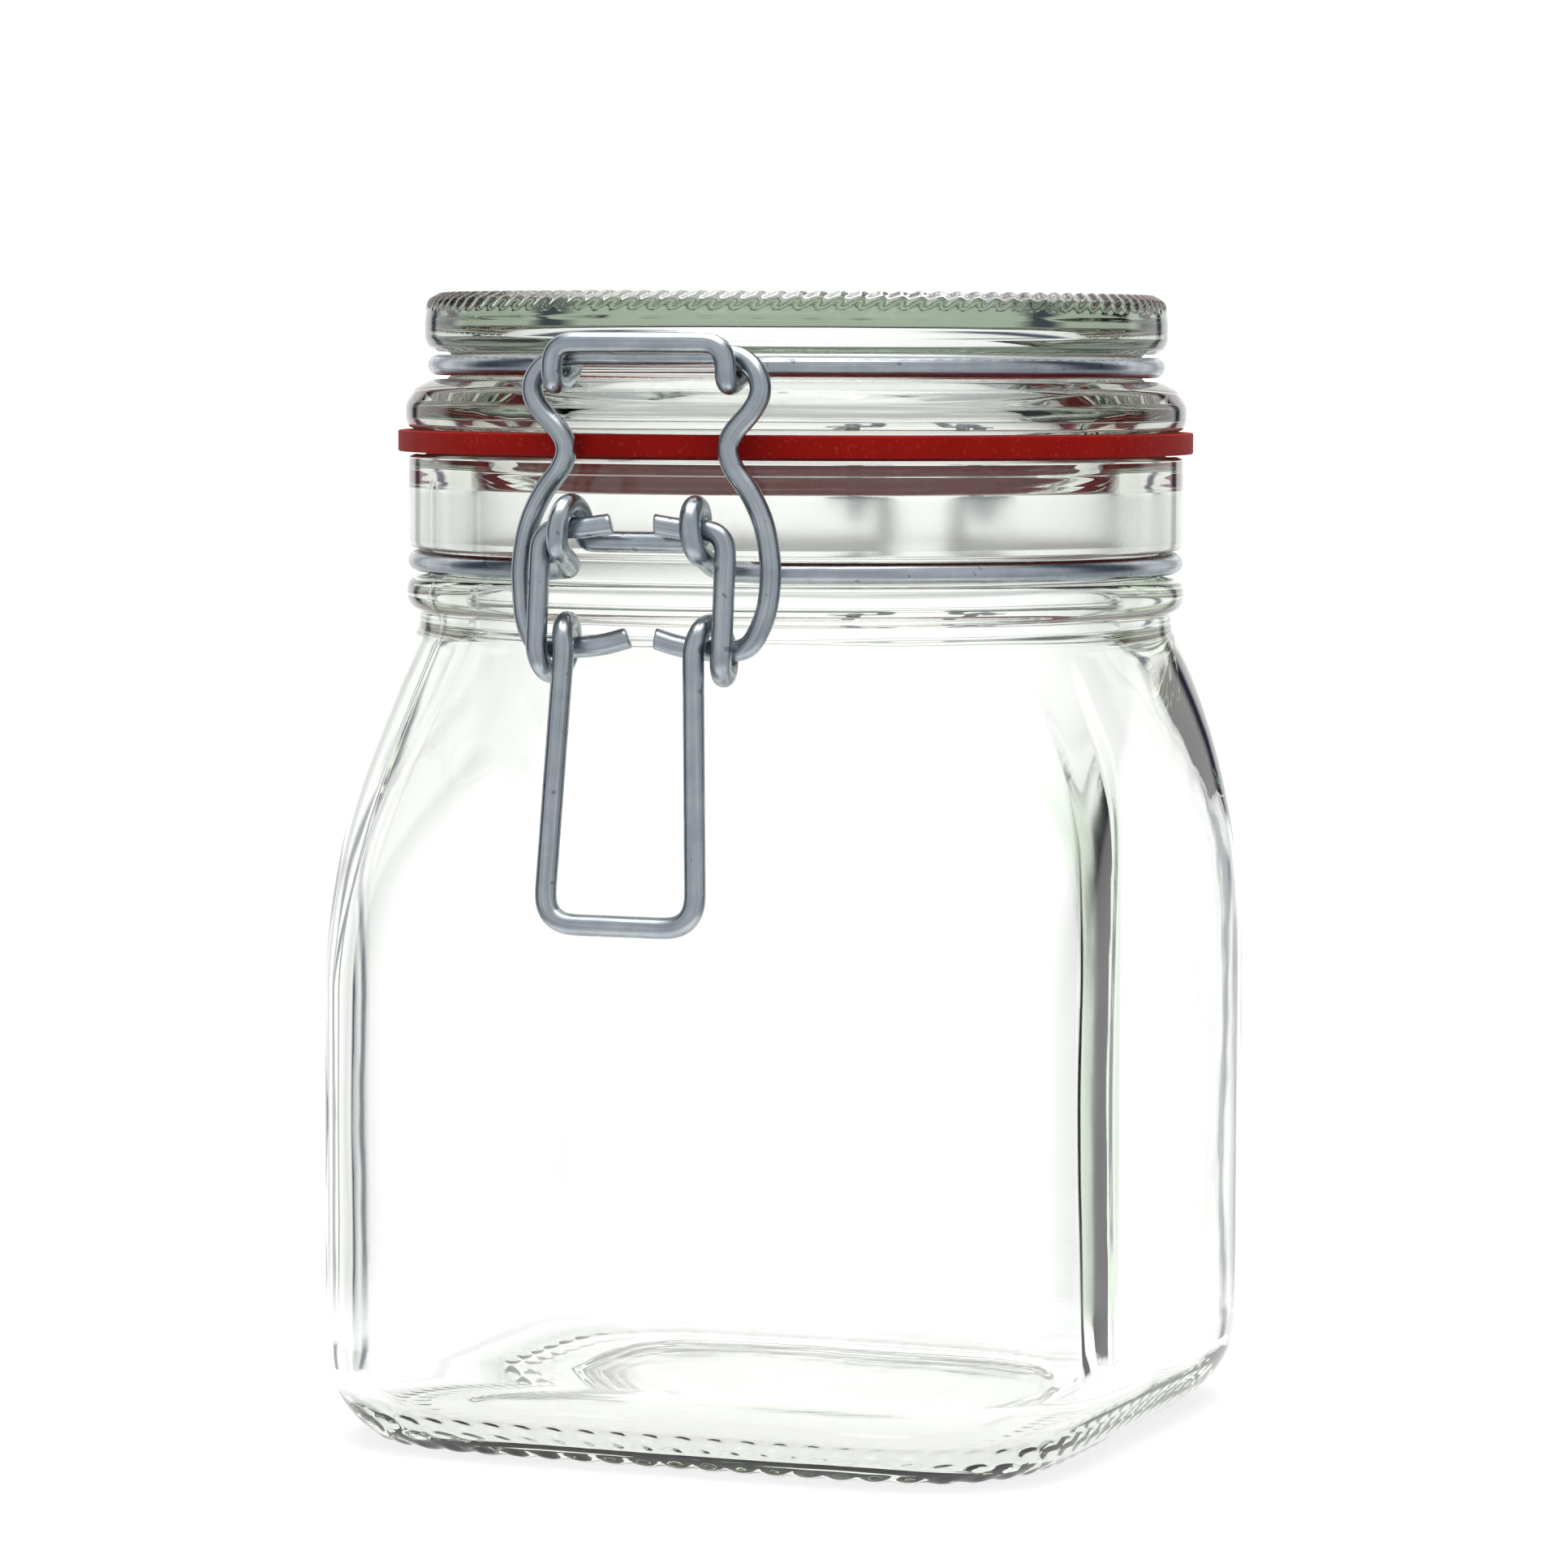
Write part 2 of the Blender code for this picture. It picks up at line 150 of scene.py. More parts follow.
# --- shader helpers ------------------------------------------------------------------------
def new_material(name):
    material = bpy.data.materials.new(name)
    material.use_nodes = True
    nodes = material.node_tree.nodes
    return material, nodes, material.node_tree.links, nodes["Principled BSDF"]


def add_noise(nodes, links, source, scale, detail, stretch=(1.0, 1.0, 1.0)):
    """Noise over the given coordinates, stretched by a Mapping node."""
    mapping = nodes.new("ShaderNodeMapping")
    mapping.inputs["Scale"].default_value = stretch
    links.new(source, mapping.inputs["Vector"])
    texture = nodes.new("ShaderNodeTexNoise")
    texture.inputs["Scale"].default_value = scale
    texture.inputs["Detail"].default_value = detail
    links.new(mapping.outputs["Vector"], texture.inputs["Vector"])
    return texture.outputs["Fac"]


def add_ramp(nodes, links, source, stops):
    """Colour ramp with (position, colour) stops."""
    ramp = nodes.new("ShaderNodeValToRGB")
    elements = ramp.color_ramp.elements
    while len(elements) < len(stops):
        elements.new(0.5)
    for element, (position, colour) in zip(elements, stops):
        element.position = position
        element.color = (*colour, 1.0)
    links.new(source, ramp.inputs["Fac"])
    return ramp.outputs["Color"]


def add_range(nodes, links, source, low, high, out_low, out_high):
    """Smooth map of a value from one range to another."""
    remap = nodes.new("ShaderNodeMapRange")
    remap.interpolation_type = "SMOOTHSTEP"
    for socket, value in zip(("From Min", "From Max", "To Min", "To Max"),
                             (low, high, out_low, out_high)):
        remap.inputs[socket].default_value = value
    links.new(source, remap.inputs["Value"])
    return remap.outputs["Result"]


def add_math(nodes, links, operation, first, second=None):
    step = nodes.new("ShaderNodeMath")
    step.operation = operation
    for socket, value in zip(step.inputs, (first, second)):
        if value is None:
            continue
        if isinstance(value, (int, float)):
            socket.default_value = value
        else:
            links.new(value, socket)
    return step.outputs["Value"]


def add_bump(nodes, links, height, strength, distance, normal=None):
    bump = nodes.new("ShaderNodeBump")
    bump.inputs["Strength"].default_value = strength
    bump.inputs["Distance"].default_value = distance
    links.new(height, bump.inputs["Height"])
    if normal is not None:
        links.new(normal, bump.inputs["Normal"])
    return bump.outputs["Normal"]


# --- materials -----------------------------------------------------------------------------
def make_glass(name, colour, density):
    """Clear soda-lime glass: green only where it is thick, faint drag marks on the surface."""
    material, nodes, links, shader = new_material(name)
    shader.inputs["Base Color"].default_value = (1.0, 1.0, 1.0, 1.0)
    shader.inputs["Transmission Weight"].default_value = 1.0
    shader.inputs["IOR"].default_value = 1.52
    coords = nodes.new("ShaderNodeTexCoord").outputs["Object"]
    waves = add_noise(nodes, links, coords, 45.0, 2.0)
    drag = add_noise(nodes, links, coords, 160.0, 3.0, (1.0, 1.0, 0.25))
    normal = add_bump(nodes, links, waves, 0.10, 1.2 * MM)
    normal = add_bump(nodes, links, drag, 0.05, 0.20 * MM, normal)
    links.new(normal, shader.inputs["Normal"])
    smudges = add_noise(nodes, links, coords, 60.0, 6.0)
    rough = add_range(nodes, links, smudges, 0.55, 0.85, 0.0, 0.05)
    # the fold of thick glass behind the front right corner has a finely wrinkled inner skin, and a
    # painted sage shade over its surface colour
    split = nodes.new("ShaderNodeSeparateXYZ")
    links.new(coords, split.inputs["Vector"])
    fold_skin_and_shade = 1.0
    for axis, edge, far in (("X", 38.0, 39.0), ("X", 45.2, 44.8), ("Y", -29.0, -26.0),
                            ("Y", -15.0, -17.0), ("Z", 14.0, 20.0), ("Z", 80.0, 72.0)):
        limit = add_range(nodes, links, split.outputs[axis], edge * MM, far * MM, 0.0, 1.0)
        fold_skin_and_shade = add_math(nodes, links, "MULTIPLY", fold_skin_and_shade, limit)
    rough = add_math(nodes, links, "ADD", rough,
                     add_math(nodes, links, "MULTIPLY", fold_skin_and_shade, FOLD_ROUGHNESS))
    # the inside of the mouth keeps the fine grain of its mould
    across = add_math(nodes, links, "POWER", split.outputs["X"], 2.0)
    deep = add_math(nodes, links, "POWER", split.outputs["Y"], 2.0)
    radius = add_math(nodes, links, "SQRT", add_math(nodes, links, "ADD", across, deep))
    mouth = 1.0
    for value, edge, far in ((radius, 40.6, 40.0), (split.outputs["Z"], 98.0, 101.0),
                             (split.outputs["Z"], 111.2, 109.4)):
        limit = add_range(nodes, links, value, edge * MM, far * MM, 0.0, 1.0)
        mouth = add_math(nodes, links, "MULTIPLY", mouth, limit)
    rough = add_math(nodes, links, "ADD", rough,
                     add_math(nodes, links, "MULTIPLY", mouth, MOUTH_ROUGHNESS))
    links.new(rough, shader.inputs["Roughness"])
    # painted shade: the fold's surface colour is mixed towards a sage tint
    painted_fold_shade = nodes.new("ShaderNodeMix")
    painted_fold_shade.data_type = "RGBA"
    links.new(fold_skin_and_shade, painted_fold_shade.inputs["Factor"])
    painted_fold_shade.inputs["A"].default_value = (1.0, 1.0, 1.0, 1.0)
    painted_fold_shade.inputs["B"].default_value = FOLD_PAINTED_SHADE
    links.new(painted_fold_shade.outputs["Result"], shader.inputs["Base Color"])
    volume = nodes.new("ShaderNodeVolumeAbsorption")
    volume.inputs["Color"].default_value = (*colour, 1.0)
    volume.inputs["Density"].default_value = density
    links.new(volume.outputs["Volume"], nodes["Material Output"].inputs["Volume"])
    return material


def make_rubber():
    """Matte red rubber, a little dusty, with fine moulding grain."""
    material, nodes, links, shader = new_material("matte_red_rubber")
    coords = nodes.new("ShaderNodeTexCoord").outputs["Object"]
    cloud = add_noise(nodes, links, coords, 130.0, 4.0)
    colour = add_ramp(nodes, links, cloud, [(0.25, (0.26, 0.004, 0.002)),
                                            (0.75, (0.34, 0.007, 0.004))])
    specks = add_noise(nodes, links, coords, 1900.0, 1.0)
    dust = add_range(nodes, links, specks, 0.60, 0.74, 0.0, 0.14)
    mix = nodes.new("ShaderNodeMix")
    mix.data_type = "RGBA"
    links.new(dust, mix.inputs["Factor"])
    links.new(colour, mix.inputs["A"])
    mix.inputs["B"].default_value = (0.50, 0.16, 0.12, 1.0)
    links.new(mix.outputs["Result"], shader.inputs["Base Color"])
    shader.inputs["Roughness"].default_value = 0.62
    shader.inputs["Specular IOR Level"].default_value = 0.08
    shader.inputs["Sheen Weight"].default_value = 0.02
    shader.inputs["Sheen Roughness"].default_value = 0.5
    shader.inputs["Sheen Tint"].default_value = (1.0, 0.75, 0.72, 1.0)
    grain = add_noise(nodes, links, coords, 900.0, 4.0)
    links.new(add_bump(nodes, links, grain, 0.35, 0.10 * MM), shader.inputs["Normal"])
    return material


def make_zinc():
    """Zinc-plated drawn wire: lengthwise drawing lines, soft cloudiness and small pits."""
    material, nodes, links, shader = new_material("zinc_plated_drawn_wire")
    coords = nodes.new("ShaderNodeTexCoord")
    along = coords.outputs["UV"]
    place = coords.outputs["Object"]
    lines = add_noise(nodes, links, along, 26.0, 3.0, (1.0, 0.012, 1.0))
    fine = add_noise(nodes, links, along, 70.0, 2.0, (1.0, 0.02, 1.0))
    cloud = add_noise(nodes, links, place, 320.0, 4.0)
    blend = add_math(nodes, links, "ADD", add_math(nodes, links, "MULTIPLY", lines, 0.55),
                     add_math(nodes, links, "MULTIPLY", cloud, 0.45))
    colour = add_ramp(nodes, links, blend, [(0.30, (0.30, 0.335, 0.365)),
                                            (0.50, (0.42, 0.46, 0.49)),
                                            (0.72, (0.56, 0.60, 0.625))])
    pits = add_noise(nodes, links, place, 700.0, 1.0)
    pit = add_range(nodes, links, pits, 0.70, 0.76, 0.0, 1.0)
    mix = nodes.new("ShaderNodeMix")
    mix.data_type = "RGBA"
    links.new(add_math(nodes, links, "MULTIPLY", pit, 0.6), mix.inputs["Factor"])
    links.new(colour, mix.inputs["A"])
    mix.inputs["B"].default_value = (0.13, 0.13, 0.15, 1.0)
    links.new(mix.outputs["Result"], shader.inputs["Base Color"])
    shader.inputs["Metallic"].default_value = 1.0
    links.new(add_range(nodes, links, blend, 0.30, 0.72, 0.30, 0.18),
              shader.inputs["Roughness"])
    normal = add_bump(nodes, links, lines, 0.30, 0.10 * MM)
    normal = add_bump(nodes, links, fine, 0.20, 0.03 * MM, normal)
    normal = add_bump(nodes, links, pit, -0.6, 0.06 * MM, normal)
    links.new(normal, shader.inputs["Normal"])
    return material


def make_floor_material():
    material, nodes, links, shader = new_material("pale_floor")
    shader.inputs["Base Color"].default_value = (0.40, 0.40, 0.405, 1.0)
    shader.inputs["Emission Color"].default_value = (1.0, 1.0, 1.0, 1.0)
    shader.inputs["Emission Strength"].default_value = FLOOR_LIGHT
    shader.inputs["Roughness"].default_value = 0.9
    shader.inputs["Specular IOR Level"].default_value = 0.0
    coords = nodes.new("ShaderNodeTexCoord").outputs["Object"]
    length = nodes.new("ShaderNodeVectorMath")
    length.operation = "LENGTH"
    links.new(coords, length.inputs[0])
    links.new(add_range(nodes, links, length.outputs["Value"], FLOOR_FADE, FLOOR_RADIUS * 0.98,
                        1.0, 0.0), shader.inputs["Alpha"])
    return material


# --- meshes from rings -----------------------------------------------------------------------
def mesh_from_rings(name, rings, material, body, node, first=None, last=None, wrap=False):
    """Closed mesh from rings of points in millimetres (rings x segments x 3).
    first and last close the ends with a middle point; wrap joins the last ring to the first."""
    count, segments = rings.shape[:2]
    verts = (rings.reshape(-1, 3) * MM).tolist()
    here = np.arange(segments)
    following = (here + 1) % segments
    faces = []
    for row in range(count if wrap else count - 1):
        low = row * segments
        high = (row + 1) % count * segments
        faces += np.stack([low + here, low + following, high + following, high + here],
                          1).tolist()
    if first is not None:
        verts.append([value * MM for value in first])
        middle = len(verts) - 1
        faces += [[middle, int(after), int(index)] for index, after in zip(here, following)]
    if last is not None:
        verts.append([value * MM for value in last])
        middle = len(verts) - 1
        low = (count - 1) * segments
        faces += [[middle, low + int(index), low + int(after)]
                  for index, after in zip(here, following)]
    data = bpy.data.meshes.new(name)
    data.from_pydata(verts, [], faces)
    data.shade_smooth()
    data.materials.append(material)
    obj = bpy.data.objects.new(name, data)
    bpy.context.scene.collection.objects.link(obj)
    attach(obj, body)
    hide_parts(node)
    return obj


def filleted(points, radius, turn_step=9.0):
    """Path through corner points with each corner rounded.  radius is one value or one each."""
    nodes = [Vector(point) for point in points]
    radii = radius if isinstance(radius, (list, tuple)) else [radius] * len(nodes)
    path = [nodes[0]]
    for before, corner, after, round_off in zip(nodes[:-2], nodes[1:-1], nodes[2:], radii[1:-1]):
        back = (before - corner).normalized()
        ahead = (after - corner).normalized()
        turn = math.pi - back.angle(ahead)
        reach = min(round_off * math.tan(turn / 2), 0.48 * (before - corner).length,
                    0.48 * (after - corner).length)
        steps = max(2, round(math.degrees(turn) / turn_step))
        start = corner + back * reach
        end = corner + ahead * reach
        for step in range(steps + 1):
            t = step / steps
            path.append((1 - t) ** 2 * start + 2 * t * (1 - t) * corner + t * t * end)
    path.append(nodes[-1])
    return path


def subdivided(path, longest):
    """The path with extra points so that no piece is longer than longest."""
    result = [path[0]]
    for start, end in zip(path[:-1], path[1:]):
        pieces = max(1, math.ceil((end - start).length / longest))
        for piece in range(1, pieces + 1):
            result.append(start.lerp(end, piece / pieces))
    return result


# --- jar ---------------------------------------------------------------------------------------
def section_radius(angle, turned, half):
    """Polar radius of a turned bell cut by a rounded square of the given half width."""
    side = np.abs(np.cos(angle)) ** BODY_SQUARENESS + np.abs(np.sin(angle)) ** BODY_SQUARENESS
    square = half / side ** (1.0 / BODY_SQUARENESS)
    return (turned ** -FLAT_BLEND + square ** -FLAT_BLEND) ** (-1.0 / FLAT_BLEND)


def bell_radius(height):
    """Turned radius of the shoulder, from the walls' corners up to the neck."""
    rise = min(max((SHOULDER_TOP - height) / (SHOULDER_TOP - SHOULDER_FOOT), 0.0), 1.0)
    return NECK_RADIUS + (BELL_RADIUS - NECK_RADIUS) * (1.0 - (1.0 - rise) ** SHOULDER_CURVE)


def fold_depth(angle, height):
    """Extra thickness of the inner wall in the fold behind the front right corner."""
    turns, depths = zip(*FOLD)
    sway = 0.6 * math.sin(height / 9.0) + 1.5 * smooth((height - 60.0) / 25.0)
    degrees = (np.degrees(angle) + 180.0) % 360.0 - 180.0
    fade = smooth((height - 9.0) / 8.0) * smooth((92.0 - height) / 14.0)
    return np.interp(degrees - sway, turns, depths, left=0.0, right=0.0) * fade


def smooth(value):
    value = min(max(value, 0.0), 1.0)
    return value * value * (3.0 - 2.0 * value)


def neck_profile():
    """(radius, height) of the outside from the top of the shoulder over the lip."""
    points = [Vector((NECK_RADIUS, SHOULDER_TOP + 0.6)), Vector((NECK_RADIUS, 95.6))]
    for step in range(17):
        turn = math.pi * (step / 16 - 0.5)
        bulge = (BEAD_RADIUS - NECK_RADIUS) * math.cos(turn) ** 0.9
        points.append(Vector((NECK_RADIUS + bulge, BEAD_HEIGHT + BEAD_HALF * math.sin(turn))))
    collar = [(NECK_RADIUS, BEAD_HEIGHT + BEAD_HALF),
              (NECK_GROOVE_RADIUS, BEAD_HEIGHT + BEAD_HALF + 0.2),
              (NECK_GROOVE_RADIUS, COLLAR_FOOT - 0.1),
              (COLLAR_RADIUS - 0.1, COLLAR_FOOT),
              (COLLAR_RADIUS, COLLAR_FOOT + 0.9),
              (COLLAR_RADIUS, COLLAR_TOP - 1.80),
              (COLLAR_RADIUS - 0.02, COLLAR_TOP - 1.75),
              (COLLAR_RADIUS - 0.02, COLLAR_TOP - 0.30),
              (COLLAR_RADIUS - 0.9, COLLAR_TOP),
              (MOUTH_RADIUS + 0.1, COLLAR_TOP),
              (MOUTH_RADIUS - MOUTH_LEAN, COLLAR_TOP - 0.25),
              (MOUTH_RADIUS - 0.84 * MOUTH_LEAN, COLLAR_TOP - 1.0),
              (MOUTH_RADIUS - 0.62 * MOUTH_LEAN, COLLAR_TOP - 1.9),
              (MOUTH_RADIUS - 0.29 * MOUTH_LEAN, COLLAR_TOP - 3.1),
              (MOUTH_RADIUS, COLLAR_TOP - 4.0),
              (MOUTH_RADIUS, MOUTH_FOOT)]
    rounds = [0.0, 0.5, 0.6, 0.5, 0.5, 0.05, 0.05, 0.3, 0.5, 0.2, 0.2, 2.0, 2.0, 2.0, 0.4, 0.0]
    points += subdivided(filleted(collar, rounds), 0.35)[1:]
    return points


def jar_rings():
    """Rings of the jar from the middle of its underside to the middle of its floor."""
    angle = TAU * np.arange(JAR_SEGMENTS) / JAR_SEGMENTS
    foot = section_radius(angle, BELL_RADIUS - BASE_INSET, BODY_HALF - BASE_INSET)
    foot_points = np.stack([foot * np.cos(angle), foot * np.sin(angle)], 1)
    pieces = np.linalg.norm(np.roll(foot_points, -1, 0) - foot_points, axis=1)
    along = (np.cumsum(pieces) - pieces) / pieces.sum() * STIPPLE_COUNT
    pitch = pieces.sum() / STIPPLE_COUNT

    def stipple(inside):
        """Height of the stipple at this distance inside the edge of the foot."""
        total = np.zeros(JAR_SEGMENTS)
        for row, place in enumerate(STIPPLE_ROWS):
            shift = 0.5 * (row % 2)
            sideways = ((along + shift) % 1.0 - 0.5) * pitch
            reach = (sideways ** 2 + (inside - place) ** 2) / STIPPLE_RADIUS ** 2
            total = np.maximum(total, np.clip(1.0 - reach, 0.0, 1.0) ** 0.75)
        worn = np.clip(0.5 + 0.5 * np.sin(angle), 0.0, 1.0)
        return total * STIPPLE_HEIGHT * (1.0 - 0.85 * worn)

    rings = []

    def add(radius, height):
        rings.append(np.stack([radius * np.cos(angle), radius * np.sin(angle),
                               np.broadcast_to(height, angle.shape)], 1))

    # underside: push-up, then the stippled bearing surface
    for share in (0.08, 0.3, 0.55, 0.8):
        rise = PUSH_UP * (1.0 - share ** 2)
        add((foot - FOOT_FLAT) * share, STIPPLE_HEIGHT + 0.35 * rise + 0.6)
    lip = np.arange(FOOT_FLAT, 0.0, -STIPPLE_STEP)
    for inside in lip:
        climb = 0.6 * smooth((inside - 7.0) / 3.5)
        add(foot - inside, STIPPLE_HEIGHT + climb - stipple(inside))
    # heel
    for step in range(1, 31):
        turn = math.radians(90.0) * step / 30
        inset = BASE_INSET * (1.0 - math.sin(turn))
        height = BASE_ROUND * (1.0 - math.cos(turn))
        height += STIPPLE_HEIGHT * (1.0 - smooth(step / 7.0))
        slope = math.hypot(BASE_ROUND * math.sin(turn), BASE_INSET * math.cos(turn))
        bumps = stipple(inset - BASE_INSET)
        outward = BASE_ROUND * math.sin(turn) / slope
        downward = BASE_INSET * math.cos(turn) / slope
        radius = section_radius(angle, BELL_RADIUS - inset, BODY_HALF - inset)
        add(radius + bumps * outward, height - bumps * downward)
    # walls and shoulder
    heights = list(np.arange(16.0, SHOULDER_FOOT, 4.0))
    heights += list(np.arange(SHOULDER_FOOT, SHOULDER_TOP + 0.5, 1.0))
    for height in heights:
        turned = bell_radius(height)
        cut = section_radius(angle, turned, BODY_HALF)
        plain = smooth((height - SHOULDER_TOP + 3.0) / 3.0)
        add(cut * (1.0 - plain) + turned * plain, height)
    # neck, lip and mouth
    for radius, height in neck_profile():
        add(np.full(JAR_SEGMENTS, radius), height)
    inner_start = len(rings)
    # inside of the shoulder and walls
    inner_half = BODY_HALF - WALL
    for height in np.concatenate([np.arange(MOUTH_FOOT - 0.6, SHOULDER_FOOT, -1.0),
                                  np.arange(SHOULDER_FOOT, FLOOR + FLOOR_ROUND, -3.0)]):
        thick = WALL + (NECK_WALL - WALL) * smooth((height - 62.0) / 32.0)
        cut = section_radius(angle, bell_radius(height) - thick, inner_half)
        add(cut - fold_depth(angle, height), height)
    for step in range(19):
        turn = math.radians(90.0) * step / 18
        inset = FLOOR_ROUND * (1.0 - math.cos(turn))
        height = FLOOR + FLOOR_ROUND * (1.0 - math.sin(turn))
        cut = section_radius(angle, BELL_RADIUS - WALL - inset, inner_half - inset)
        add(cut - fold_depth(angle, height), height)
    last = np.linalg.norm(rings[-1][:, :2], axis=1)
    for share in (0.9, 0.75, 0.55, 0.3, 0.1):
        add(last * share, FLOOR + FLOOR_DOME * (1.0 - share) ** 1.2)
    return np.array(rings), inner_start


def make_jar(material):
    rings, inner_start = jar_rings()
    lip_row = int(np.argmax(rings[:, 0, 2]))
    # mould seams: one column of points stands proud on each side, up to the lip
    for turn in SEAM_TURNS:
        column = round(turn * JAR_SEGMENTS) % JAR_SEGMENTS
        side = rings[:, column, :2]
        length = np.linalg.norm(side, axis=1, keepdims=True)
        rows = (rings[:, column, 2] > 12.0) & (rings[:, column, 2] < COLLAR_TOP - 3.0)
        rows &= np.arange(len(rings)) < lip_row
        side += np.where(rows[:, None], side / np.maximum(length, 1e-6) * SEAM_HEIGHT, 0.0)
    # hand-size unevenness of the walls, more inside than outside
    for row, ring in enumerate(rings):
        inner = row >= inner_start
        depth, size = (RIPPLE, RIPPLE_SIZE) if inner else (SCALLOP, SCALLOP_SIZE)
        height = ring[0, 2]
        fade = smooth((SHOULDER_TOP - height) / 12.0) * smooth((height - 2.0) / 10.0)
        if inner:
            fade = smooth((MOUTH_FOOT + 8.0 - height) / 12.0)
        if fade == 0.0:
            continue
        for index, point in enumerate(ring):
            wave = noise.noise(Vector(point) / size + Vector((7.0, 3.0, 1.0 + 9.0 * inner)))
            length = math.hypot(point[0], point[1])
            if length > 5.0:
                shift = depth * fade * wave
                point[0] += point[0] / length * shift
                point[1] += point[1] / length * shift
    return mesh_from_rings("jar_glass", rings, material, "jar", "glass_jar",
                           first=(0.0, 0.0, STIPPLE_HEIGHT + 0.35 * PUSH_UP + 0.6),
                           last=(0.0, 0.0, FLOOR + FLOOR_DOME))


# --- lid and ring --------------------------------------------------------------------------------
def lid_profile():
    """(radius, height) from the middle of the top, round the outside, to the middle below."""
    lip = RING_INNER - 0.5
    lip_foot = LID_FOOT - 3.05
    plate_foot = LID_TOP - 3.9
    wall_in = 36.5
    corners = [
        (0.5, LID_TOP - 0.6, 0.0), (RIM_RADIUS - 3.8, LID_TOP - 0.6, 0.8),
        (RIM_RADIUS - 3.0, LID_TOP - 0.3, 0.6), (RIM_RADIUS - 2.0, LID_TOP - 0.25, 0.8),
        (RIM_RADIUS - 0.8, LID_TOP - 0.9, 1.0), (RIM_RADIUS - 0.15, LID_TOP - 2.0, 1.5),
        (RIM_RADIUS, LID_TOP - 3.4, 2.0), (RIM_RADIUS, LID_GROOVE_TOP + 1.6, 1.0),
        (RIM_RADIUS - 0.4, LID_GROOVE_TOP + 0.6, 0.8), (RIM_RADIUS - 1.4, LID_GROOVE_TOP, 0.8),
        (LID_GROOVE_RADIUS, LID_GROOVE_TOP, 0.7), (LID_GROOVE_RADIUS, LID_GROOVE_FOOT, 0.8),
        (FLANGE_RADIUS - 3.0, LID_GROOVE_FOOT - 0.1, 2.0),
        (FLANGE_RADIUS - 1.1, LID_GROOVE_FOOT - 1.1, 2.0),
        (FLANGE_RADIUS, LID_GROOVE_FOOT - 3.0, 2.0), (FLANGE_RADIUS, LID_FOOT + 1.4, 1.0),
        (FLANGE_RADIUS - 0.3, LID_FOOT + 0.4, 0.6), (FLANGE_RADIUS - 1.2, LID_FOOT, 0.6),
        (lip + 0.3, LID_FOOT, 0.4), (lip, LID_FOOT - 0.5, 0.4),
        (lip, lip_foot + 0.5, 0.5), (lip - 0.5, lip_foot, 0.5), (lip - 2.7, lip_foot, 0.3),
        (lip - 3.1, lip_foot + 0.4, 0.4), (lip - 3.1, LID_FOOT + 1.0, 1.5),
        (wall_in - 1.5, LID_FOOT + 4.0, 3.0),
        (wall_in, LID_FOOT + 6.8, 4.0), (wall_in - 0.4, plate_foot - 1.7, 2.0),
        (wall_in - 2.4, plate_foot, 2.0), (0.5, plate_foot, 0.0),
    ]
    return filleted([corner[:2] + (0.0,) for corner in corners],
                    [corner[2] for corner in corners])


def make_lid(material):
    """Turned lid with slanted pressed ribs round its top edge."""
    profile = lid_profile()
    path = []
    for start, end in zip(profile[:-1], profile[1:]):
        fine = 0.22 if start.y > LID_TOP - 2.4 and start.x > RIM_RADIUS - 4.2 else 2.5
        path += subdivided([start, end], fine)[:-1]
    path.append(profile[-1])
    angle = TAU * np.arange(LID_SEGMENTS) / LID_SEGMENTS
    rings = []
    travelled = 0.0
    for index, point in enumerate(path):
        if index:
            travelled += (point - path[index - 1]).length
        before = path[max(index - 1, 0)]
        after = path[min(index + 1, len(path) - 1)]
        along = (after - before).normalized()
        outward = Vector((-along.y, along.x, 0.0))
        edge = smooth((point.x - RIM_RADIUS + 3.3) / 0.7) * smooth((point.y - LID_TOP + 2.3) / 1.2)
        if index > len(path) // 2:
            edge = 0.0
        wave = 0.5 + 0.5 * np.cos(RIB_COUNT * angle + RIB_SLANT * travelled)
        lift = RIB_HEIGHT * edge * wave ** 0.8
        radius = point.x + outward.x * lift
        height = np.minimum(point.y + outward.y * lift, LID_TOP)
        rings.append(np.stack([radius * np.cos(angle), radius * np.sin(angle),
                               np.broadcast_to(height, angle.shape)], 1))
    rings = np.array(rings)[::-1]
    return mesh_from_rings("lid_glass", rings, material, "lid", "glass_lid",
                           first=(0.0, 0.0, path[-1].y), last=(0.0, 0.0, path[0].y))


def make_ring(material):
    """Flat rubber ring with softly worn edges and a slightly wavy outline."""
    pressed_foot = COLLAR_TOP - RING_PRESS
    pressed_top = LID_FOOT + RING_PRESS
    corners = [(41.0, pressed_foot), (43.4, pressed_foot), (44.2, RING_FOOT),
               (RING_OUTER, RING_FOOT), (RING_OUTER, RING_TOP), (44.0, RING_TOP),
               (43.4, pressed_top), (41.0, pressed_top), (40.4, RING_TOP),
               (RING_INNER, RING_TOP), (RING_INNER, pressed_foot),
               (41.0, pressed_foot)]
    path = filleted([corner + (0.0,) for corner in corners], 0.25, 15.0)[:-1]
    path = subdivided(path, 1.2)
    angle = TAU * np.arange(360) / 360
    waver = 0.06 * np.cos(3 * angle + 1.0) + 0.04 * np.cos(7 * angle + 2.0) - 0.15
    rings = []
    for point in path:
        share = smooth((point.x - 44.0) / 3.0)
        radius = point.x + waver * share
        rings.append(np.stack([radius * np.cos(angle), radius * np.sin(angle),
                               np.broadcast_to(point.y, angle.shape)], 1))
    return mesh_from_rings("sealing_ring", np.array(rings), material, "lid",
                           "rubber_ring", wrap=True)


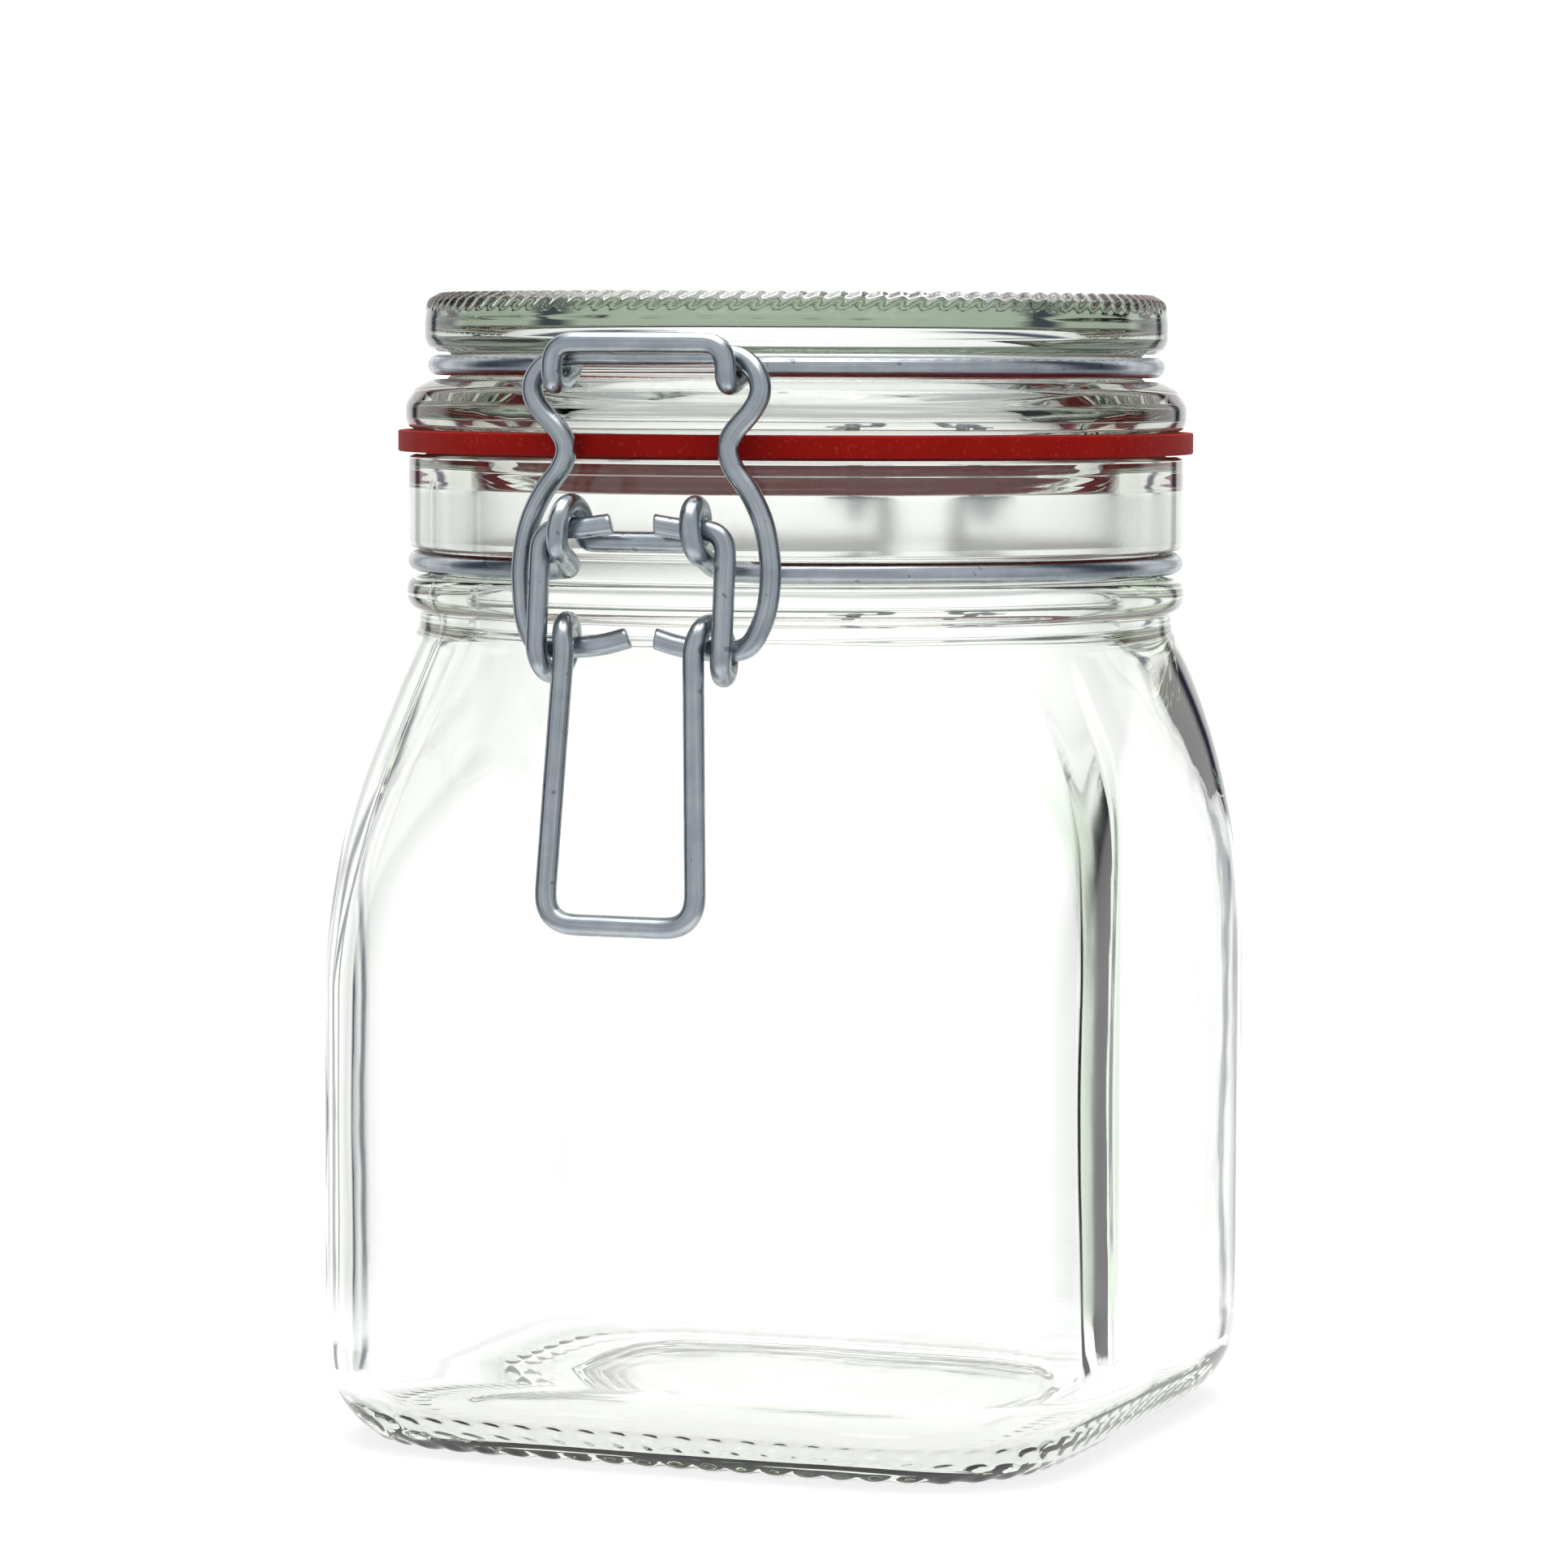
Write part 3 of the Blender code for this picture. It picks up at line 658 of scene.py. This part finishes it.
# --- wires -----------------------------------------------------------------------------------------
def smooth_run(points, pieces=8):
    """Points on a Catmull-Rom curve through the given points."""
    nodes = [Vector(point) for point in points]
    nodes = [nodes[0] * 2 - nodes[1]] + nodes + [nodes[-1] * 2 - nodes[-2]]
    run = []
    for before, start, end, after in zip(nodes[:-3], nodes[1:-2], nodes[2:-1], nodes[3:]):
        for piece in range(pieces):
            t = piece / pieces
            run.append(0.5 * (2 * start + (end - before) * t
                              + (2 * before - 5 * start + 4 * end - after) * t ** 2
                              + (3 * start - before - 3 * end + after) * t ** 3))
    run.append(nodes[-2])
    return run


def coil(axis, radius, start_side, end_side, start, end, front=-1.0, steps=60):
    """Turns about a crosswise axis.  Angles are degrees in the plane of (outward, up)."""
    points = []
    for step in range(steps + 1):
        share = step / steps
        angle = math.radians(start + (end - start) * share)
        out = axis[0] + radius * math.cos(angle)
        points.append(Vector((start_side + (end_side - start_side) * share, front * out,
                              axis[1] + radius * math.sin(angle))))
    return points


def hoop_arc(hoop, start, end, steps=90):
    """Points on the right-hand half of a hoop, angles from the front towards the back."""
    radius, height = hoop
    points = []
    for step in range(steps + 1):
        angle = start + (end - start) * step / steps
        points.append(Vector((radius * math.sin(angle), -radius * math.cos(angle), height)))
    return points


def mirrored(points):
    """The whole wire from its right-hand half, which starts at the middle plane."""
    left = [Vector((-point[0], point[1], point[2])) for point in reversed(points[1:])]
    return left + [Vector(point) for point in points]


def neck_wire_half():
    """Bridge bar, eye, hoop and hinge pin on the right-hand side."""
    out, up = EYE_AXIS
    back = out - EYE_COIL
    eye = coil(EYE_AXIS, EYE_COIL, EYE_SIDE - 1.4, EYE_SIDE, 180.0, -90.0)
    bridge = filleted([(0.0, -back, up - 1.4), (EYE_SIDE - 1.4, -back, up - 1.4), eye[0]], 1.4)
    start = math.asin(13.6 / NECK_HOOP[0])
    end = math.pi - math.asin(9.5 / NECK_HOOP[0])
    hoop = hoop_arc(NECK_HOOP, start, end)
    lead = filleted([eye[-1], (EYE_SIDE + 0.2, -NECK_HOOP[0] - 2.4, NECK_HOOP[1] + 0.4),
                     hoop[0]], 4.0)
    away, height = HINGE_AXIS
    pin_side = 5.4
    pin = filleted([hoop[-1], (pin_side, NECK_HOOP[0] + 0.2, NECK_HOOP[1]),
                    (pin_side, away, NECK_HOOP[1] + 0.8), (pin_side, away, height),
                    (14.2, away, height)], 2.6)
    return bridge[:-1] + eye[:-1] + lead[:-1] + hoop[:-1] + pin


def lid_wire_half():
    """Nose, hoop and hinge eye on the right-hand side."""
    radius, height = LID_HOOP
    nose_out = 48.9
    nose_up = height + 2.6
    side = 10.4
    start = math.asin(14.4 / radius)
    end = math.pi - math.asin(12.6 / radius)
    hoop = hoop_arc(LID_HOOP, start, end)
    nose = filleted([(0.0, -nose_out, nose_up), (side, -nose_out, nose_up),
                     (side, -nose_out, height - 2.6), (side, -radius - 2.2, height - 1.1),
                     (side + 0.4, -radius + 0.9, height), hoop[0]], 2.8)
    away, up = HINGE_AXIS
    eye_in = away - EYE_COIL + 0.03
    eye_side = 9.2
    leg = filleted([hoop[-1], (eye_side + 0.2, radius - 0.3, height),
                    (eye_side, eye_in, height - 0.6), (eye_side, eye_in, up)], 2.6)
    eye = coil(HINGE_AXIS, EYE_COIL - 0.03, eye_side, eye_side + 2.7, 180.0, 490.0, front=1.0)
    return nose[:-1] + hoop[:-1] + leg[:-1] + eye


def lever_half():
    """Handle bar, leg, loop, arm and pivot stub on the right-hand side."""
    bar_out = 53.96
    bar_up = 62.9
    loop = coil(LOOP_AXIS, LOOP_COIL, LEG_SIDE, ARM_SIDE, 0.0, 360.0)
    handle = filleted([(0.0, -bar_out, bar_up), (9.1, -bar_out, bar_up), loop[0]], 3.6)
    out, up = EYE_AXIS
    arm = filleted([loop[-1], (ARM_SIDE, -out, up), (EYE_SIDE - 2.6, -out, up + 0.2),
                    (2.6, -out, up + 0.65)], 2.6)
    return handle[:-1] + loop[:-1] + arm


def bail_half():
    """Top bar, upper lobe, waist, lower lobe and hooked end on the right-hand side."""
    foot_out, foot_up = LOOP_AXIS
    top_up, top_out = 125.95, 46.0
    waist_up, waist_out = 115.9, 47.8
    outline = [(0.0, top_up, 0.0), (9.4, top_up, 0.0), (11.7, top_up, -0.6),
               (13.3, top_up, -2.2), (13.7, top_up, -4.2), (12.6, top_up, -6.2),
               (10.5, top_up, -8.4), (9.65, waist_up, -0.2), (10.3, waist_up, -2.4),
               (12.4, waist_up, -5.2), (14.1, waist_up, -8.8), (14.9, waist_up, -13.4),
               (14.6, waist_up, -17.8), (13.9, foot_up, 2.3), (12.9, foot_up, 0.6),
               (11.2, foot_up, 0.0), (8.0, foot_up, 0.0), (4.6, foot_up, 0.4),
               (1.6, foot_up, 1.2)]
    points = []
    for side, level, lift in outline:
        height = level + lift
        if height > waist_up:
            share = (height - waist_up) / (top_up - waist_up)
            out = waist_out + (top_out - waist_out) * share ** 1.5
        else:
            share = (waist_up - height) / (waist_up - foot_up)
            out = waist_out + (foot_out - waist_out) * share
        points.append((side, -out, height))
    return smooth_run(points)


def bail_skew(height):
    """Sideways shift of the bail, which hangs a little to the right below its top bar."""
    return BAIL_SKEW * smooth((125.0 - height) / 12.0) * (1.0 - 0.5 * smooth((100.0 - height) / 7.0))


def even_path(path, spacing, relax=3):
    """The path with evenly spaced points, slightly relaxed, ends kept."""
    points = np.array([list(point) for point in path])
    keep = np.concatenate([[True], np.linalg.norm(np.diff(points, axis=0), axis=1) > 1e-6])
    points = points[keep]
    reach = np.concatenate([[0.0], np.cumsum(np.linalg.norm(np.diff(points, axis=0), axis=1))])
    count = int(reach[-1] / spacing)
    even = np.linspace(0.0, reach[-1], count + 1)
    points = np.stack([np.interp(even, reach, points[:, axis]) for axis in range(3)], 1)
    for _ in range(relax):
        points[1:-1] = 0.5 * points[1:-1] + 0.25 * (points[:-2] + points[2:])
    return points


def make_wire(name, half, material, body, node, shear=0.0, skew=None):
    """Round wire swept along the path, with cut ends.  shear tilts the end faces."""
    path = even_path(mirrored(half), WIRE_STEP)
    if skew is not None:
        path[:, 0] += [skew(height) for height in path[:, 2]]
    ahead = np.gradient(path, axis=0)
    ahead /= np.linalg.norm(ahead, axis=1, keepdims=True)
    side = np.cross(ahead[0], (0.3, 0.2, 1.0))
    turn = TAU * np.arange(WIRE_SIDES) / WIRE_SIDES
    rings = []
    for index, (point, along) in enumerate(zip(path, ahead)):
        side = side - along * side.dot(along)
        side /= np.linalg.norm(side)
        up = np.cross(along, side)
        from_end = min(index, len(path) - 1 - index)
        radius = WIRE_RADIUS * (1.0 + 0.006 * noise.noise(Vector(point) * 0.8))
        ring = point + radius * (np.outer(np.cos(turn), side) + np.outer(np.sin(turn), up))
        if from_end < 4:
            tilt = shear * (1.0 - from_end / 4.0)
            ring = ring + np.outer(tilt * np.cos(turn + 0.6), along)
        rings.append(ring)
    rings = np.array(rings)
    # cut faces: a small broken edge, then the flat cut
    for end in (0, -1):
        inward = 1.0 if end == 0 else -1.0
        middle = rings[end].mean(0)
        face = middle + (rings[end] - middle) * 0.93
        edge = rings[end] + ahead[end] * inward * 0.10
        rings[end] = edge
        if end == 0:
            rings = np.concatenate([face[None], rings])
        else:
            rings = np.concatenate([rings, face[None]])
    obj = mesh_from_rings(name, rings, material, body, node,
                          first=rings[0].mean(0), last=rings[-1].mean(0))
    add_wire_uv(obj, len(rings))


def add_wire_uv(obj, count):
    """Coordinates round (0 to 1) and along the wire (in turns of its girth)."""
    data = obj.data
    layer = data.uv_layers.new(name="wire")
    girth = TAU * WIRE_RADIUS
    index = np.empty(len(data.loops), np.int32)
    data.loops.foreach_get("vertex_index", index)
    row = np.minimum(index // WIRE_SIDES, count - 1)
    column = index % WIRE_SIDES
    u = column / WIRE_SIDES
    starts = np.empty(len(data.polygons), np.int32)
    data.polygons.foreach_get("loop_start", starts)
    totals = np.empty(len(data.polygons), np.int32)
    data.polygons.foreach_get("loop_total", totals)
    for start, total in zip(starts, totals):
        part = u[start:start + total]
        if part.max() - part.min() > 0.5:
            u[start:start + total] = np.where(part < 0.5, part + 1.0, part)
    layer.data.foreach_set("uv", np.stack([u, row * WIRE_STEP / girth], 1).ravel())


# --- studio ------------------------------------------------------------------------------------------
def make_world():
    """White wall behind, dark openings to both sides of it, grey room in front."""
    world = bpy.data.worlds.new("studio")
    bpy.context.scene.world = world
    world.use_nodes = True
    nodes, links = world.node_tree.nodes, world.node_tree.links
    background = nodes["Background"]
    direction = nodes.new("ShaderNodeTexCoord").outputs["Generated"]
    away = Vector((-math.sin(VIEW_AZIMUTH), math.cos(VIEW_AZIMUTH), 0.0))
    across = Vector((math.cos(VIEW_AZIMUTH), math.sin(VIEW_AZIMUTH), 0.0))
    parts = []
    for axis in (away, across):
        dot = nodes.new("ShaderNodeVectorMath")
        dot.operation = "DOT_PRODUCT"
        links.new(direction, dot.inputs[0])
        dot.inputs[1].default_value = axis
        parts.append(dot.outputs["Value"])
    turn = add_math(nodes, links, "ARCTAN2", add_math(nodes, links, "ABSOLUTE", parts[1]),
                    parts[0])
    turn = add_math(nodes, links, "DIVIDE", turn, math.pi)
    ring = add_ramp(nodes, links, turn, [
        (0.06, (1.0, 1.0, 1.0)), (0.135, (0.90, 0.90, 0.90)), (0.153, (0.05, 0.06, 0.10)),
        (0.170, (0.05, 0.06, 0.10)), (0.188, (0.88, 0.88, 0.88)), (0.295, (0.84, 0.84, 0.84)),
        (0.325, (0.03, 0.04, 0.06)), (0.455, (0.03, 0.04, 0.06)),
        (0.52, (0.47, 0.49, 0.52)), (0.75, (0.60, 0.61, 0.63)), (1.0, (0.55, 0.56, 0.58))])
    split = nodes.new("ShaderNodeSeparateXYZ")
    links.new(direction, split.inputs["Vector"])
    # the table is grey behind the jar and a little darker to both sides of it
    low = add_range(nodes, links, split.outputs["Z"], -0.10, -0.38, 0.0, 1.0)
    beside = add_range(nodes, links, turn, 0.17, 0.25, 0.0, 1.0)
    table = nodes.new("ShaderNodeMix")
    table.data_type = "RGBA"
    links.new(beside, table.inputs["Factor"])
    table.inputs["A"].default_value = (0.52, 0.53, 0.53, 1.0)
    table.inputs["B"].default_value = (0.40, 0.41, 0.44, 1.0)
    front = add_range(nodes, links, turn, 0.50, 0.70, 1.0, 0.35)
    lower = nodes.new("ShaderNodeMix")
    lower.data_type = "RGBA"
    links.new(add_math(nodes, links, "MULTIPLY", low, front), lower.inputs["Factor"])
    links.new(ring, lower.inputs["A"])
    links.new(table.outputs["Result"], lower.inputs["B"])
    ring = lower.outputs["Result"]
    top = add_range(nodes, links, split.outputs["Z"], 0.72, 0.88, 0.0, 1.0)
    mix = nodes.new("ShaderNodeMix")
    mix.data_type = "RGBA"
    links.new(top, mix.inputs["Factor"])
    links.new(ring, mix.inputs["A"])
    mix.inputs["B"].default_value = (1.0, 1.0, 1.0, 1.0)
    seen = nodes.new("ShaderNodeMix")
    seen.data_type = "RGBA"
    links.new(nodes.new("ShaderNodeLightPath").outputs["Is Camera Ray"], seen.inputs["Factor"])
    links.new(mix.outputs["Result"], seen.inputs["A"])
    seen.inputs["B"].default_value = (1.0, 1.0, 1.0, 1.0)
    links.new(seen.outputs["Result"], background.inputs["Color"])
    background.inputs["Strength"].default_value = WALL_LIGHT


def make_floor():
    data = bpy.data.meshes.new("floor")
    mesh = bmesh.new()
    bmesh.ops.create_circle(mesh, cap_ends=True, radius=FLOOR_RADIUS, segments=96)
    mesh.to_mesh(data)
    mesh.free()
    data.materials.append(make_floor_material())
    floor = bpy.data.objects.new("floor", data)
    floor.location.z = FLOOR_LEVEL
    bpy.context.scene.collection.objects.link(floor)


def add_softbox(name, place, aim, size, power):
    data = bpy.data.lights.new(name, "AREA")
    data.shape = "RECTANGLE"
    data.size, data.size_y = size
    data.energy = power
    light = bpy.data.objects.new(name, data)
    light.location = place
    light.rotation_euler = (Vector(aim) - Vector(place)).to_track_quat("-Z", "Y").to_euler()
    bpy.context.scene.collection.objects.link(light)


def make_camera():
    data = bpy.data.cameras.new("camera")
    data.sensor_width = 36.0
    data.lens = CAMERA_LENS
    camera = bpy.data.objects.new("camera", data)
    away = Vector((-math.sin(VIEW_AZIMUTH), math.cos(VIEW_AZIMUTH), 0.0))
    across = Vector((math.cos(VIEW_AZIMUTH), math.sin(VIEW_AZIMUTH), 0.0))
    camera.location = away * -CAMERA_DISTANCE + Vector((0.0, 0.0, CAMERA_HEIGHT))
    aim = away - across * AIM_LEFT - Vector((0.0, 0.0, AIM_DOWN))
    turned = aim.to_track_quat("-Z", "Y") @ Quaternion((0.0, 0.0, 1.0), CAMERA_ROLL)
    camera.rotation_euler = turned.to_euler()
    bpy.context.scene.collection.objects.link(camera)
    bpy.context.scene.camera = camera


def build():
    zinc = make_zinc()
    make_jar(make_glass("clear_pressed_glass", JAR_TINT, JAR_DENSITY))
    make_lid(make_glass("pressed_lid_glass", LID_TINT, LID_DENSITY))
    make_ring(make_rubber())
    make_wire("neck_wire_look", neck_wire_half(), zinc, "jar", "neck_wire")
    make_wire("lid_wire_look", lid_wire_half(), zinc, "lid", "lid_wire")
    make_wire("lever_look", lever_half(), zinc, "lever", "lever", shear=0.35)
    make_wire("bail_look", bail_half(), zinc, "bail", "bail", shear=0.35, skew=bail_skew)
    make_world()
    make_floor()
    add_softbox("top_softbox", (0.0, 0.0, 1.3), (0.0, 0.0, 0.0), (1.1, 1.1), 14.0)
    make_camera()
    scene = bpy.context.scene
    scene.view_settings.view_transform = "Standard"
    scene.cycles.max_bounces = 32
    scene.cycles.transmission_bounces = 32
    scene.cycles.glossy_bounces = 16


build()
